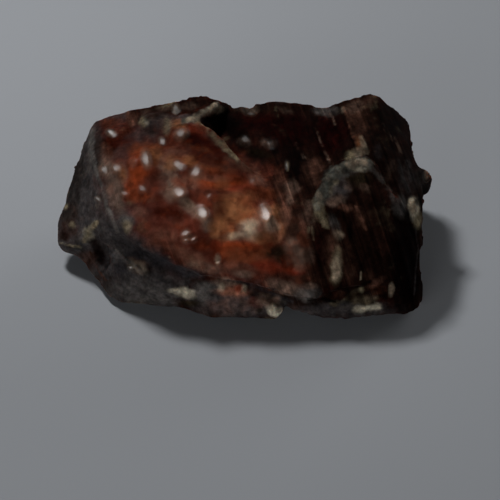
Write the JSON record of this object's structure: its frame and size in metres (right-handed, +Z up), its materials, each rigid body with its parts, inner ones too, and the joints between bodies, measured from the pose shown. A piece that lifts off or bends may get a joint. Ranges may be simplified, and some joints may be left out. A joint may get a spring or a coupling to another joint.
{
  "type": "zircon crystal",
  "caption": "Rough zircon crystal: a broken dark red-brown prism with a worn, glossy orange-red dome, pale veins and a grey skin, lying on one flat face.",
  "frame": {"origin": "on the ground, under the middle of the stone's bounding box", "axes": "+X along the prism towards its blunt end, +Y to the back, away from the worn dome, +Z up"},
  "size_m": [0.0422, 0.0216, 0.0159],
  "materials": {
    "zircon": "glossy"
  },
  "bodies": {
    "root": {"zircon": "zircon"}
  },
  "joints": []
}
